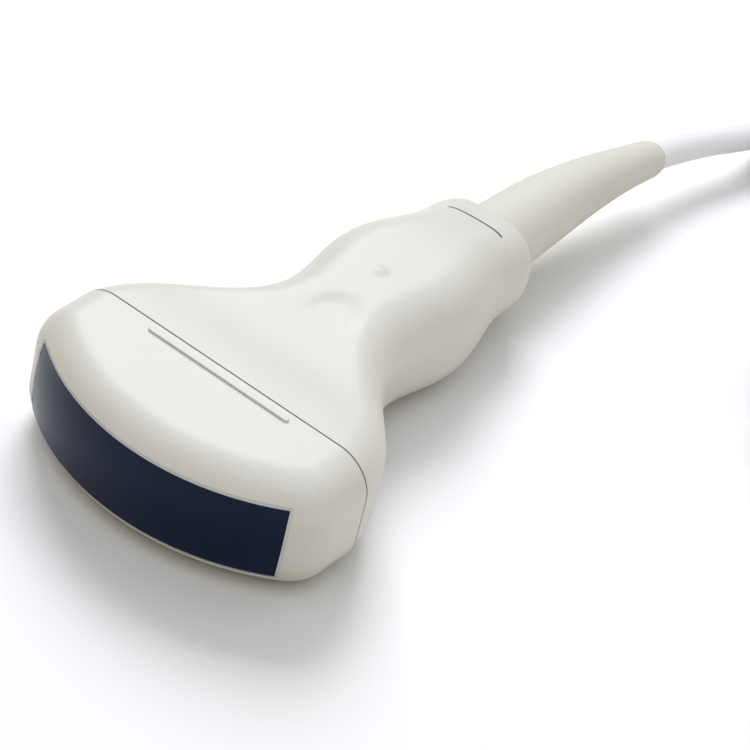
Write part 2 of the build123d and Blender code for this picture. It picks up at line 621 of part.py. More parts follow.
def make_connector():
    """System connector: two case shells, insert with contacts, board, boot, screws and lock."""
    face = CASE_DEPTH / 2
    inside = face - CASE_WALL
    insert_rear = inside - INSERT_FLANGE
    insert_front = face + INSERT_REACH
    outer = case_block(0)
    ends = outer.edges().group_by(Axis.X)
    outer = fillet(ends[0] + ends[-1], CASE_FACE_EDGE)
    case = outer - case_block(CASE_WALL)

    boss_y = CASE_LENGTH / 2 - BOSS_INSET
    boss_z = CASE_HEIGHT / 2 - BOSS_INSET
    seat = -face + CASE_SCREW_HEAD + CASE_FACE_EDGE / 2
    number = 0
    for side_y in (-1, 1):
        for side_z in (-1, 1):
            number += 1
            place = Pos(0, side_y * boss_y, side_z * boss_z)
            case += place * bar_x(BOSS_RADIUS, -inside - 0.5, inside + 0.5)
            screw = bar_x(CASE_SCREW_RADIUS, seat, seat + CASE_SCREW_LENGTH)
            screw += bar_x(CASE_SCREW_HEAD_RADIUS, seat - CASE_SCREW_HEAD, seat)
            case -= place * screw
            case -= place * bar_x(CASE_SCREW_HEAD_RADIUS, -face - 1, seat)
            connector_pieces[f"case_screw_{number}"] = place * screw

    hole = block_x(INSERT_LENGTH, INSERT_HEIGHT, inside - 1, face + 1, INSERT_EDGE)
    case -= hole
    end = CASE_LENGTH / 2
    case -= rod(BOOT_NECK_RADIUS + FIT_GAP, end - CASE_WALL - 1, end + 1)
    case -= bar_x(SHAFT_RADIUS + SHAFT_CLEARANCE, -face - 1, -inside + 1)
    connector_pieces["connector_case_back"] = case & block_x(BIG, BIG, -BIG / 2, 0)
    connector_pieces["connector_case_front"] = case & block_x(BIG, BIG, 0, BIG / 2)

    insert = block_x(INSERT_LENGTH, INSERT_HEIGHT, insert_rear, insert_front, INSERT_EDGE)
    flange_length = INSERT_LENGTH + 2 * INSERT_FLANGE_WIDTH
    flange_height = INSERT_HEIGHT + 2 * INSERT_FLANGE_WIDTH
    insert += block_x(flange_length, flange_height, insert_rear, inside, INSERT_EDGE)
    insert -= bar_x(SHAFT_RADIUS + SHAFT_CLEARANCE, insert_rear - 1, insert_front + 1)
    contact_front = insert_front - CONTACT_RECESS
    contact_rear = contact_front - CONTACT_BLOCK_DEPTH
    block_y = (INSERT_LENGTH / 2 + SHAFT_RADIUS) / 2
    contact = block_x(CONTACT_BLOCK_LENGTH, CONTACT_BLOCK_HEIGHT, contact_rear, contact_front)
    groove_length = CONTACT_PITCH * 1.5
    for row in range(CONTACT_ROWS):
        for column in range(CONTACT_COLUMNS):
            groove_z = (row - (CONTACT_ROWS - 1) / 2) * (groove_length + CONTACT_WIDTH)
            groove_y = (column - (CONTACT_COLUMNS - 1) / 2) * CONTACT_PITCH
            low = contact_front - CONTACT_GROOVE
            groove = block_x(CONTACT_WIDTH, groove_length, low, contact_front + 1)
            contact -= Pos(0, groove_y, groove_z) * groove
    for name, side in (("near", -1), ("far", 1)):
        place = Pos(0, side * block_y, 0)
        room = block_x(CONTACT_BLOCK_LENGTH, CONTACT_BLOCK_HEIGHT, contact_rear, insert_front + 1)
        insert -= place * room
        connector_pieces[f"contact_block_{name}"] = place * contact
    connector_pieces["connector_insert"] = insert

    board_length = 2 * (boss_y - BOSS_RADIUS) - 2
    board = block_x(board_length, flange_height, insert_rear - CONNECTOR_BOARD, insert_rear)
    board -= bar_x(SHAFT_RADIUS + 1, insert_rear - CONNECTOR_BOARD - 1, insert_rear + 1)
    connector_pieces["connector_board"] = board

    connector_pieces["connector_boot"] = make_connector_boot(end)
    make_lock(face, insert_front)


def make_connector_boot(end):
    """Ribbed tapered boot held by its flange in the end wall of the case."""
    flange_rear = end - CASE_WALL - CORD_GAP
    outline = [
        (0, flange_rear - BOOT_FLANGE),
        (BOOT_FLANGE_RADIUS, flange_rear - BOOT_FLANGE),
        (BOOT_FLANGE_RADIUS, flange_rear),
        (BOOT_NECK_RADIUS, flange_rear),
        (BOOT_NECK_RADIUS, end + CORD_GAP),
        (BOOT_ROOT_RADIUS, end + CORD_GAP),
        (BOOT_ROOT_RADIUS, end + BOOT_COLLAR),
        (BOOT_TIP_RADIUS, end + BOOT_LENGTH),
        (0, end + BOOT_LENGTH),
    ]
    boot = revolve(make_face(Polyline(*outline, close=True)), Axis.Y)
    taper = (BOOT_ROOT_RADIUS - BOOT_TIP_RADIUS) / (BOOT_LENGTH - BOOT_COLLAR)
    for number in range(BOOT_GROOVES):
        distance = BOOT_COLLAR + (number + 1) * BOOT_GROOVE_PITCH
        radius = BOOT_ROOT_RADIUS - taper * (distance - BOOT_COLLAR) - BOOT_GROOVE_DEPTH
        front = end + distance - BOOT_GROOVE_WIDTH / 2
        ring = rod(BOOT_ROOT_RADIUS + 1, front, front + BOOT_GROOVE_WIDTH)
        boot -= ring - rod(radius, front - 1, front + BOOT_GROOVE_WIDTH + 1)
    return boot


def make_lock(face, insert_front):
    """Lock shaft with its cross key, and the winged knob that turns it."""
    knob_face = -face - KNOB_GAP
    key_low = insert_front + LOCK_KEY_GAP
    shaft = bar_x(SHAFT_RADIUS, knob_face - KNOB_SOCKET, key_low)
    key = block_x(LOCK_KEY_LENGTH, LOCK_KEY_WIDTH, key_low, key_low + LOCK_KEY_DEPTH)
    connector_pieces["lock_shaft"] = shaft + key

    disc = bar_x(KNOB_RADIUS, knob_face - KNOB_THICKNESS, knob_face)
    wing_low = knob_face - KNOB_THICKNESS - KNOB_WING_HEIGHT
    wing_edge = KNOB_WING_WIDTH / 2 - 0.1
    wing_high = knob_face - KNOB_THICKNESS / 2
    wing = block_x(KNOB_WING_LENGTH, KNOB_WING_WIDTH, wing_low, wing_high, wing_edge)
    wing = fillet(wing.faces().sort_by(Axis.X)[0].edges(), KNOB_ROUND)
    knob = disc + wing
    connector_pieces["lock_knob"] = knob - bar_x(SHAFT_RADIUS, knob_face - KNOB_SOCKET, knob_face + 1)


cord_pieces = {}
connector_pieces = {}
make_nose()
make_array()
make_electronics()
make_grip()
make_cable_end()
probe_box = Compound(children=[Pos(0, 0, 0) * solid for solid in pieces.values()]).bounding_box()
to_frame = Pos(-probe_box.center().X, -probe_box.center().Y, -probe_box.min.Z)
print("probe", probe_box.size, "moved by", to_frame.position)
make_cord()
make_connector()

os.makedirs("parts", exist_ok=True)
case_place = Pos(CASE_X, CASE_Y, CASE_Z)
written = {name: to_frame * solid for name, solid in pieces.items()}
written |= cord_pieces
written |= {name: case_place * solid for name, solid in connector_pieces.items()}
for name, solid in written.items():
    print(name, len(solid.solids()), round(solid.volume, 1))
    export_step(solid, f"parts/{name}.step")
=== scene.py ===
# %% [markdown]
# # A hand-held convex ultrasound transducer
#
# The object is a moulded hand piece with a fan-shaped nose, a curved silicone lens, a soft strain
# relief and a long cable. The solids come from a CAD model, which stays as it is. This lesson gives
# them their finishes, lays the cable out as one smooth curve, and lights the object in a white studio.

# %% Load the fixed frame
import json
import math

import bmesh
import bpy
import numpy as np
from mathutils import Matrix, Vector
from mathutils.bvhtree import BVHTree


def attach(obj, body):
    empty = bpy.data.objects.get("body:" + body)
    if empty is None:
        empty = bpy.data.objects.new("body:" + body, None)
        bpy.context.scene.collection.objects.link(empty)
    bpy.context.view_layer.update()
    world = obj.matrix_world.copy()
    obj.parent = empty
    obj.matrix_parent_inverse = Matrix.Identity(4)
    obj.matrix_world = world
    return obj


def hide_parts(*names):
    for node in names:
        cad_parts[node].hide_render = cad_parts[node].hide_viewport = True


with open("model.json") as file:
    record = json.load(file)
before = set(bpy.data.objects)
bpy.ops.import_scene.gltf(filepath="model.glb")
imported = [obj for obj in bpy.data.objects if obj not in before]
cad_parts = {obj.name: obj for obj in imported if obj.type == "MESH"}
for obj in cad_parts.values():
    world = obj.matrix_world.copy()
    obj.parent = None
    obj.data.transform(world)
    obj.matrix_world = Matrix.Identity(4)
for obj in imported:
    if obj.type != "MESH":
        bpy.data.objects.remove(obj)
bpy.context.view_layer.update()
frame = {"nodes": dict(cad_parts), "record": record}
scene = bpy.context.scene
MM = 0.001

# %% [markdown]
# ## The camera
#
# A product photograph like this one is taken from well away with a long lens, so that parallel edges
# stay nearly parallel. The camera is placed by a turn around the object, a lift above the table and a
# roll about its own line of sight. Building its axes from those three angles keeps every number
# readable, and no shift of the picture is needed.

# %% Camera from a turn, a lift and a roll
IMAGE_PIXELS = 750
FOCAL_PIXELS = 3168.157
SENSOR_WIDTH = 36.0
CAMERA_TURN = math.radians(28.806)
CAMERA_LIFT = math.radians(38.072)
CAMERA_ROLL = math.radians(14.49)
CAMERA_DISTANCE = 0.640
LOOK_AT = Vector((0.0, -22.695, 13.1)) * MM
LOOK_AT_PIXEL = (347.269, 335.596)

back = Vector((
    math.sin(CAMERA_TURN) * math.cos(CAMERA_LIFT),
    -math.cos(CAMERA_TURN) * math.cos(CAMERA_LIFT),
    math.sin(CAMERA_LIFT),
))
level = Vector((math.cos(CAMERA_TURN), math.sin(CAMERA_TURN), 0.0))
plumb = back.cross(level)
right = level * math.cos(CAMERA_ROLL) + plumb * math.sin(CAMERA_ROLL)
up = plumb * math.cos(CAMERA_ROLL) - level * math.sin(CAMERA_ROLL)
aside = (LOOK_AT_PIXEL[0] - IMAGE_PIXELS / 2) / FOCAL_PIXELS * CAMERA_DISTANCE
above = (IMAGE_PIXELS / 2 - LOOK_AT_PIXEL[1]) / FOCAL_PIXELS * CAMERA_DISTANCE

camera = bpy.data.objects.new("camera", bpy.data.cameras.new("camera"))
camera.data.sensor_width = SENSOR_WIDTH
camera.data.lens = FOCAL_PIXELS / IMAGE_PIXELS * SENSOR_WIDTH
scene.collection.objects.link(camera)
standpoint = LOOK_AT + back * CAMERA_DISTANCE - right * aside - up * above
camera.matrix_world = Matrix.Translation(standpoint) @ Matrix((right, up, back)).transposed().to_4x4()
scene.camera = camera
print("camera at", [round(value, 4) for value in standpoint], "lens", round(camera.data.lens, 2))

# %% [markdown]
# ## The cable
#
# The cable of such a transducer is about two metres of round jacketed bundle. It leaves the strain
# relief a little above the table, sinks to it in one slow curve, and the length that the photograph
# doesn't show is wound up as for storage. Three lists of points hold the whole way: the free run, the
# coil and the free tail. The run follows the photograph as far as that shows it, and the tail's points
# are listed. In the CAD model both stretches are tubes along nearly the same points, and the coil is one
# closed ring that stands in for all its turns.

# %% Route of the free stretches
CABLE_DIAMETER = 6.4
RELIEF_TIP = (3.96, 92.01, 10.70)
RUN_ROUTE = (
    (5.9, 103.7, 9.5),
    (10.9, 117.6, 8.2),
    (11.2, 128.0, 5.9),
    (11.6, 136.5, 3.7),
)
TAIL_ROUTE = (
    (90.6, 155.0, 16.4),
    (92.4, 147.0, 17.4),
    (92.6, 139.0, 19.2),
    (92.0, 131.0, 21.0),
    (92.0, 122.0, 21.0),
)
print("route points:", len(RUN_ROUTE), "and", len(TAIL_ROUTE))

# %% [markdown]
# Many sizes on this object change gradually: the cable's place in the coil, the slimming of the relief
# and the walls of the hollow. A smooth step starts and ends level, so none of them shows a corner.

# %% A smooth step
def eased(value, low, high):
    """Smooth step from 0 at low to 1 at high."""
    share = min(max((value - low) / (high - low), 0.0), 1.0)
    return share * share * (3 - 2 * share)


print("half way:", eased(0.5, 0.0, 1.0))

# %% [markdown]
# The coil is three turns wide and three high. Each turn fills one place of that three by three stack,
# and near the end of a turn the cable moves over to the next place, which the turn ahead of it has
# just left. Points on a circle pull a spline inside it, so they stand a little further out.

# %% Turns of the coil
COIL_CENTRE = (52.0, 144.0)
COIL_MEAN_RADIUS = 33.0
COIL_START = 180.0
COIL_TURNS = 8.417
POINTS_PER_TURN = 24
FIRST_MOVE = 0.93
TURNS_BETWEEN_MOVES = 0.933
MOVE_LENGTH = 0.20
PLACES = ((1, 0), (0, 0), (-1, 0), (-1, 1), (-1, 2), (0, 2), (0, 1), (1, 1), (1, 2))


def place_of(turns):
    """Column and layer of the coil's stack after so many turns, with smooth moves between places."""
    column, layer = PLACES[0]
    for number in range(1, len(PLACES)):
        start = FIRST_MOVE + (number - 1) * TURNS_BETWEEN_MOVES - MOVE_LENGTH / 2
        share = eased(turns, start, start + MOVE_LENGTH)
        column += share * (PLACES[number][0] - PLACES[number - 1][0])
        layer += share * (PLACES[number][1] - PLACES[number - 1][1])
    return column, layer


coil_points = []
for step in range(int(COIL_TURNS * POINTS_PER_TURN) + 1):
    turns = step / POINTS_PER_TURN
    column, layer = place_of(turns)
    angle = math.radians(COIL_START) - turns * math.tau
    radius = (COIL_MEAN_RADIUS + column * CABLE_DIAMETER) / math.cos(math.pi / POINTS_PER_TURN)
    coil_points.append((
        COIL_CENTRE[0] + radius * math.cos(angle),
        COIL_CENTRE[1] + radius * math.sin(angle),
        CABLE_DIAMETER * (layer + 0.5),
    ))
cable_points = [RELIEF_TIP, *RUN_ROUTE, *coil_points, *TAIL_ROUTE]
print("cable control points:", len(cable_points))

# %% [markdown]
# The jacket is a plain round tube. It could be swept as a mesh, but a NURBS spline of order three with
# a round bevel bends like the real jacket, stays editable and needs only these points.

# %% Cable as one spline
STEPS_BETWEEN_POINTS = 5
STEPS_ROUND_CORD = 5


def round_cord(name, points, diameter):
    """A round cord along millimetre control points, as a bevelled NURBS curve.

    A curve's box is widened by its points' own radius, so each point holds the real thickness and the
    bevel that multiplies it is one metre.
    """
    curve = bpy.data.curves.new(name, "CURVE")
    curve.dimensions = "3D"
    curve.resolution_u = STEPS_BETWEEN_POINTS
    curve.bevel_depth = 1.0
    curve.bevel_resolution = STEPS_ROUND_CORD
    spline = curve.splines.new("NURBS")
    spline.points.add(len(points) - 1)
    for control, point in zip(spline.points, points):
        control.co = (point[0] * MM, point[1] * MM, point[2] * MM, 1.0)
        control.radius = diameter / 2 * MM
    spline.order_u = 3
    spline.use_endpoint_u = True
    cord = bpy.data.objects.new(name, curve)
    scene.collection.objects.link(cord)
    return cord


cable = round_cord("cable", cable_points, CABLE_DIAMETER)
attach(cable, "probe")
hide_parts("cable_run", "cable_coil", "cable_tail")
print("cable ends at", cable_points[-1])

# %% [markdown]
# ## Shared surface effects
#
# Moulded plastic is never quite flat: the steel mould was sparked or blasted, and that grain is
# printed on every piece. The same plastic varies very slightly in tone, and handling leaves faint
# rubbed marks. Several finishes need these effects at different sizes, so each effect is a node group
# that puts out plain values, and every material places it with its own numbers.

# %% Helpers for node groups
def effect_group(name, inputs, outputs):
    """An empty shader node group with number inputs and outputs. Returns its tree and both end nodes."""
    tree = bpy.data.node_groups.new(name, "ShaderNodeTree")
    for label, value in inputs.items():
        socket = tree.interface.new_socket(label, in_out="INPUT", socket_type="NodeSocketFloat")
        socket.default_value = value
    for label in outputs:
        tree.interface.new_socket(label, in_out="OUTPUT", socket_type="NodeSocketFloat")
    return tree, tree.nodes.new("NodeGroupInput"), tree.nodes.new("NodeGroupOutput")


def put(tree, kind, settings=None, **links):
    """One node, with its settings, and its inputs filled by a number, a colour or another node's socket."""
    node = tree.nodes.new(kind)
    for key, value in (settings or {}).items():
        setattr(node, key, value)
    for label, value in links.items():
        label = label.replace("_", " ").strip()
        socket = node.inputs[int(label)] if label.isdigit() else node.inputs[label]
        if isinstance(value, bpy.types.NodeSocket):
            tree.links.new(value, socket)
        else:
            socket.default_value = value
    return node


print("helpers ready")

# %% [markdown]
# The grain is a field of fine pits with uneven depth, so a cell texture is multiplied by a noise of the
# same size. The tone is one much coarser noise. Image textures could do both, but they would tie the
# grain to an unwrapping, and a procedure in object space is the same on every piece.

# %% Mould grain and tone
mould_skin, skin_in, skin_out = effect_group(
    "mould skin", {"Grain Scale": 2500.0, "Mottle Scale": 35.0}, ("Height", "Tone"))
place = put(mould_skin, "ShaderNodeTexCoord").outputs["Object"]
pits = put(mould_skin, "ShaderNodeTexVoronoi", {"feature": "SMOOTH_F1"},
           Vector=place, Scale=skin_in.outputs["Grain Scale"])
waves = put(mould_skin, "ShaderNodeTexNoise", Vector=place, Scale=skin_in.outputs["Grain Scale"], Detail=2.0)
grain = put(mould_skin, "ShaderNodeMath", {"operation": "MULTIPLY"},
            _0=pits.outputs["Distance"], _1=waves.outputs["Fac"])
mottle = put(mould_skin, "ShaderNodeTexNoise",
             Vector=place, Scale=skin_in.outputs["Mottle Scale"], Detail=4.0)
tone = put(mould_skin, "ShaderNodeMapRange", Value=mottle.outputs["Fac"], From_Min=0.35, From_Max=0.65)
mould_skin.links.new(grain.outputs[0], skin_out.inputs["Height"])
mould_skin.links.new(tone.outputs["Result"], skin_out.inputs["Tone"])
print("mould skin sockets:", [item.name for item in mould_skin.interface.items_tree])

# %% [markdown]
# Hands and wiping cloths leave fine hairs of duller surface, in patches. A noise drawn out along one
# direction gives the hairs and a coarse noise says where they are. They change the roughness alone.

# %% Rubbed marks of handling
rub_marks, rub_in, rub_out = effect_group("rub marks", {"Mark Scale": 220.0, "Patch Scale": 45.0}, ("Mask",))
place = put(rub_marks, "ShaderNodeTexCoord").outputs["Object"]
drawn = put(rub_marks, "ShaderNodeMapping", Vector=place, Rotation=(0.3, 0.5, 0.7), Scale=(1.0, 0.06, 1.0))
hairs = put(rub_marks, "ShaderNodeTexNoise",
            Vector=drawn.outputs["Vector"], Scale=rub_in.outputs["Mark Scale"], Detail=5.0)
thin = put(rub_marks, "ShaderNodeMapRange", Value=hairs.outputs["Fac"], From_Min=0.62, From_Max=0.72)
patches = put(rub_marks, "ShaderNodeTexNoise", Vector=place, Scale=rub_in.outputs["Patch Scale"], Detail=2.0)
where = put(rub_marks, "ShaderNodeMapRange", Value=patches.outputs["Fac"], From_Min=0.5, From_Max=0.65)
mask = put(rub_marks, "ShaderNodeMath", {"operation": "MULTIPLY"},
           _0=thin.outputs["Result"], _1=where.outputs["Result"])
rub_marks.links.new(mask.outputs[0], rub_out.inputs["Mask"])
print("rub marks sockets:", [item.name for item in rub_marks.interface.items_tree])

# %% [markdown]
# ## Finishes
#
# One maker function serves every plain finish, because moulded plastic, rubber and metal differ only
# in their numbers here: two close tones that the mottle blends, a roughness that the rubbed marks
# lift, and the depth of the grain. What is the same all over a surface is set on the shader itself.

# %% A finish from a few numbers
def finish(name, light, dark, roughness, grain, depth, mottle=35.0, rub=0.08, **plain):
    """A procedural finish. light and dark are colours, grain is per metre, depth is in millimetres."""
    material = bpy.data.materials.new(name)
    material.use_nodes = True
    tree = material.node_tree
    shader = tree.nodes["Principled BSDF"]
    skin = put(tree, "ShaderNodeGroup", {"node_tree": mould_skin}, Grain_Scale=grain, Mottle_Scale=mottle)
    rubbed = put(tree, "ShaderNodeGroup", {"node_tree": rub_marks})
    colour = put(tree, "ShaderNodeMix", {"data_type": "RGBA"}, Factor=skin.outputs["Tone"])
    colour.inputs[6].default_value = (*dark, 1.0)
    colour.inputs[7].default_value = (*light, 1.0)
    rough = put(tree, "ShaderNodeMapRange",
                Value=rubbed.outputs["Mask"], To_Min=roughness, To_Max=roughness + rub)
    bump = put(tree, "ShaderNodeBump", Height=skin.outputs["Height"], Strength=1.0, Distance=depth * MM)
    tree.links.new(colour.outputs[2], shader.inputs["Base Color"])
    tree.links.new(rough.outputs["Result"], shader.inputs["Roughness"])
    tree.links.new(bump.outputs["Normal"], shader.inputs["Normal"])
    for label, value in plain.items():
        shader.inputs[label.replace("_", " ")].default_value = value
    return material


print("finish maker ready")

# %% [markdown]
# The hand piece is ivory moulded plastic and the relief and the jacket are soft plastics, a little duller.
# The lens is a smooth dark blue silicone that turns lighter at a flat angle, which some sheen gives.

# %% Finishes of the hand piece
IVORY = {"light": (0.674, 0.650, 0.572), "dark": (0.654, 0.630, 0.552),
         "roughness": 0.42, "grain": 2600.0, "depth": 0.02, "IOR": 1.45}
finishes = {
    "housing": finish("ivory housing", **IVORY),
    "lens": finish("lens silicone", (0.0014, 0.0072, 0.0290), (0.0011, 0.0061, 0.0250), 0.22, 1800.0, 0.008,
                   rub=0.12, IOR=1.24, Specular_Tint=(0.78, 0.90, 1.0, 1.0), Sheen_Weight=0.15,
                   Sheen_Roughness=0.35, Sheen_Tint=(0.75, 0.88, 1.0, 1.0)),
    "bead": finish("bead silicone", (0.60, 0.61, 0.62), (0.54, 0.55, 0.56), 0.45, 3000.0, 0.01),
    "gasket": finish("seam gasket", (0.10, 0.095, 0.085), (0.07, 0.065, 0.06), 0.7, 3000.0, 0.01),
    "boot": finish("relief elastomer", (0.675, 0.650, 0.560), (0.650, 0.625, 0.535), 0.62, 3200.0, 0.03,
                   IOR=1.42),
    "cable": finish("cable jacket", (0.83, 0.815, 0.795), (0.80, 0.785, 0.765), 0.45, 2200.0, 0.012,
                    mottle=60.0),
}
print("outer finishes:", sorted(finishes))

# %% [markdown]
# The connector and the inside aren't in the picture. Their finishes are the usual ones of such parts:
# light case plastic, black insert, copper-coloured shield foil, green boards and drawn steel screws.

# %% Finishes of the connector and of the inner pieces
finishes.update({
    "case": finish("case plastic", (0.70, 0.68, 0.62), (0.67, 0.65, 0.59), 0.5, 1400.0, 0.05),
    "insert": finish("insert plastic", (0.020, 0.020, 0.022), (0.014, 0.014, 0.016), 0.5, 2000.0, 0.02),
    "contacts": finish("contact block", (0.035, 0.033, 0.030), (0.028, 0.026, 0.024), 0.55, 2200.0, 0.02),
    "boot_grey": finish("grey elastomer", (0.30, 0.30, 0.30), (0.26, 0.26, 0.26), 0.6, 2200.0, 0.03),
    "knob": finish("knob plastic", (0.085, 0.09, 0.10), (0.07, 0.075, 0.085), 0.4, 1500.0, 0.03),
    "steel": finish("drawn steel", (0.56, 0.56, 0.58), (0.48, 0.48, 0.50), 0.3, 900.0, 0.01, Metallic=1.0),
    "epoxy": finish("matching epoxy", (0.22, 0.22, 0.19), (0.18, 0.18, 0.16), 0.6, 2600.0, 0.01),
    "ceramic": finish("piezo ceramic", (0.48, 0.43, 0.34), (0.43, 0.38, 0.30), 0.7, 3000.0, 0.01),
    "backing": finish("backing rubber", (0.05, 0.05, 0.05), (0.035, 0.035, 0.035), 0.8, 1600.0, 0.03),
    "polyimide": finish("flex circuit", (0.42, 0.17, 0.03), (0.36, 0.14, 0.02), 0.35, 900.0, 0.01),
    "carrier": finish("machined carrier", (0.62, 0.63, 0.65), (0.56, 0.57, 0.59), 0.35, 700.0, 0.01,
                      Metallic=1.0),
    "board": finish("circuit board", (0.03, 0.16, 0.06), (0.02, 0.12, 0.05), 0.35, 800.0, 0.01),
    "socket": finish("board socket", (0.03, 0.03, 0.03), (0.02, 0.02, 0.02), 0.5, 1500.0, 0.02),
    "shield": finish("shield foil", (0.70, 0.38, 0.24), (0.62, 0.33, 0.21), 0.28, 500.0, 0.02, Metallic=1.0),
    "clamp": finish("clamp nylon", (0.05, 0.05, 0.05), (0.04, 0.04, 0.04), 0.5, 1800.0, 0.02),
    "bundle": finish("coax bundle", (0.30, 0.05, 0.04), (0.22, 0.04, 0.03), 0.55, 900.0, 0.08),
})
for subpart in frame["record"]["subparts"]:
    frame["nodes"][subpart["node"]].material_slots[0].material = finishes[subpart["material_slot"]]
cable.data.materials.append(finishes["cable"])
print("finishes in use:", len(finishes))

# %% [markdown]
# ## Soft forms of the hand piece
#
# Two pieces need softer or finer forms than their solids have: the strain relief ends a little sooner,
# and the thumb hollow and the touch nub on the upper shell are shallow, blended swells. Each new piece
# starts as a copy of the node's mesh, joined along its face borders, and stands for that node.

# %% A free copy of a node's mesh
def joined_copy(node, name):
    """A piece with a node's mesh, its face borders joined, that stands for the node."""
    mesh = frame["nodes"][node].data.copy()
    if mesh.has_custom_normals:
        mesh.attributes.remove(mesh.attributes["custom_normal"])
    shape = bmesh.new()
    shape.from_mesh(mesh)
    bmesh.ops.remove_doubles(shape, verts=shape.verts, dist=1e-6)
    shape.to_mesh(mesh)
    shape.free()
    piece = bpy.data.objects.new(name, mesh)
    scene.collection.objects.link(piece)
    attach(piece, "probe")
    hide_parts(node)
    return piece


def smooth_shade(mesh, limit_degrees):
    """Smooth shading with sharp edges where two faces meet at more than the limit."""
    shape = bmesh.new()
    shape.from_mesh(mesh)
    for face in shape.faces:
        face.smooth = True
    for edge in shape.edges:
        edge.smooth = len(edge.link_faces) == 2 and edge.calc_face_angle(0.0) < math.radians(limit_degrees)
    shape.to_mesh(mesh)
    shape.free()


print("copy helpers ready")

# %% [markdown]
# The relief's axis is straight for its first part and then one arc. Turning each point of the arc back
# about the arc's centre, by a share of its own angle, shortens the arc and keeps every section round.
# The outer surface also gets slimmer towards the end, and once more at the last rounding, while the bore
# around the cable stays as it is.

# %% Shorter strain relief
PROBE_SHIFT = -92.695
AXIS_HEIGHT = 13.1
RELIEF_SEAT = 117.1
RELIEF_STRAIGHT = 19.5
RELIEF_LENGTH = 67.9
RELIEF_BEND = math.radians(11.0)
RELIEF_BEND_ROLL = math.radians(-31.25)
RELIEF_SHORTER = 4.5
RELIEF_BORE = 3.5
RELIEF_SLIMMER = 0.08
RELIEF_TAPER = (0.45, 0.95)
RELIEF_ROUNDING = (0.93, 1.0)
SMOOTH_LIMIT = 35.0

bend_radius = (RELIEF_LENGTH - RELIEF_STRAIGHT) / RELIEF_BEND
along = Vector((0.0, 1.0, 0.0))
sideways = Vector((math.cos(RELIEF_BEND_ROLL), 0.0, math.sin(RELIEF_BEND_ROLL)))
knee = Vector((0.0, RELIEF_SEAT + PROBE_SHIFT + RELIEF_STRAIGHT, AXIS_HEIGHT))
bend_centre = (knee + sideways * bend_radius) * MM
share = RELIEF_SHORTER / (RELIEF_LENGTH - RELIEF_STRAIGHT)
across = sideways.cross(along)
relief = joined_copy("strain_relief", "relief_sleeve")
for vertex in relief.data.vertices:
    arm = vertex.co - bend_centre
    angle = math.atan2(arm.dot(along), -arm.dot(sideways))
    if angle > 0.0 and vertex.co.y > knee.y * MM:
        outward = arm - arm.dot(across) * across
        axis_arm = outward.normalized() * bend_radius * MM
        thickness = arm - axis_arm
        if thickness.length > RELIEF_BORE * MM:
            part = angle / RELIEF_BEND
            slimming = RELIEF_SLIMMER * (eased(part, *RELIEF_TAPER) + eased(part, *RELIEF_ROUNDING))
            arm = axis_arm + thickness * (1.0 - slimming)
        back_turn = Matrix.Rotation(angle * share, 3, across)
        vertex.co = bend_centre + back_turn @ arm
smooth_shade(relief.data, SMOOTH_LIMIT)
print("relief ends at y", round(max(vertex.co.y for vertex in relief.data.vertices) * 1000, 2))

# %% [markdown]
# The upper shell's hollow and nub lie on the flat of the grip. The lower shell is its mirror image
# without them, so rays up into it give the undisturbed surface on a grid. A few rounds of smoothing take
# out the facets of that mesh.

# %% Undisturbed surface from the lower shell
PATCH_LOW = (-9.6, -58.0)
PATCH_HIGH = (9.6, -6.0)
PATCH_STEP = 0.6
RAY_START = -5.0
SMOOTHING_ROUNDS = 6
INSIDE_GRID = 1.001

lower = frame["nodes"]["grip_shell_lower"].data
corners = [vertex.co.copy() for vertex in lower.vertices]
tree = BVHTree.FromPolygons(corners, [tuple(polygon.vertices) for polygon in lower.polygons])
columns = int((PATCH_HIGH[0] - PATCH_LOW[0]) / PATCH_STEP) + 1
rows = int((PATCH_HIGH[1] - PATCH_LOW[1]) / PATCH_STEP) + 1
heights = np.zeros((rows, columns))
for row in range(rows):
    for column in range(columns):
        start = Vector((PATCH_LOW[0] + column * PATCH_STEP, PATCH_LOW[1] + row * PATCH_STEP, RAY_START)) * MM
        spot = tree.ray_cast(start, Vector((0.0, 0.0, 1.0)))[0]
        heights[row, column] = 2 * AXIS_HEIGHT - spot.z / MM
for smoothing in range(SMOOTHING_ROUNDS):
    padded = np.pad(heights, 1, mode="reflect", reflect_type="odd")
    heights = (padded[:-2, 1:-1] + padded[2:, 1:-1] + padded[1:-1, :-2] + padded[1:-1, 2:] + 4 * heights) / 8
print("surface grid:", heights.shape, "from", heights.min().round(2), "to", heights.max().round(2))


def surface_height(x, y):
    """Height of the undisturbed upper surface, between the grid's points."""
    from_left = min(max((x - PATCH_LOW[0]) / PATCH_STEP, 0.0), columns - INSIDE_GRID)
    from_front = min(max((y - PATCH_LOW[1]) / PATCH_STEP, 0.0), rows - INSIDE_GRID)
    i, j = int(from_left), int(from_front)
    u, v = from_left - i, from_front - j
    near = heights[j, i] * (1 - u) + heights[j, i + 1] * u
    far = heights[j + 1, i] * (1 - u) + heights[j + 1, i + 1] * u
    return near * (1 - v) + far * v


print("height at the nub:", round(surface_height(0.0, -15.3), 2))

# %% [markdown]
# The hollow is half an oval bowl: deep at its rear wall, where a thumb's tip would rest, and faded out
# towards the nose. The nub is one round swell of a cosine. Both are plain functions of the place.

# %% Profiles of the hollow and the nub
HOLLOW_DEPTH = 0.42
HOLLOW_X = 1.6
HOLLOW_Y = 58.4 + PROBE_SHIFT
HOLLOW_HALF_WIDTH = 6.4
HOLLOW_REAR = 9.2
HOLLOW_FRONT = 21.0
HOLLOW_FADE = (53.0, 64.0)
HOLLOW_WALL = (0.55, 1.1)
NUB_PLACE = (-0.4, 77.4 + PROBE_SHIFT)
NUB_RADIUS = 2.4
NUB_HEIGHT = 0.32


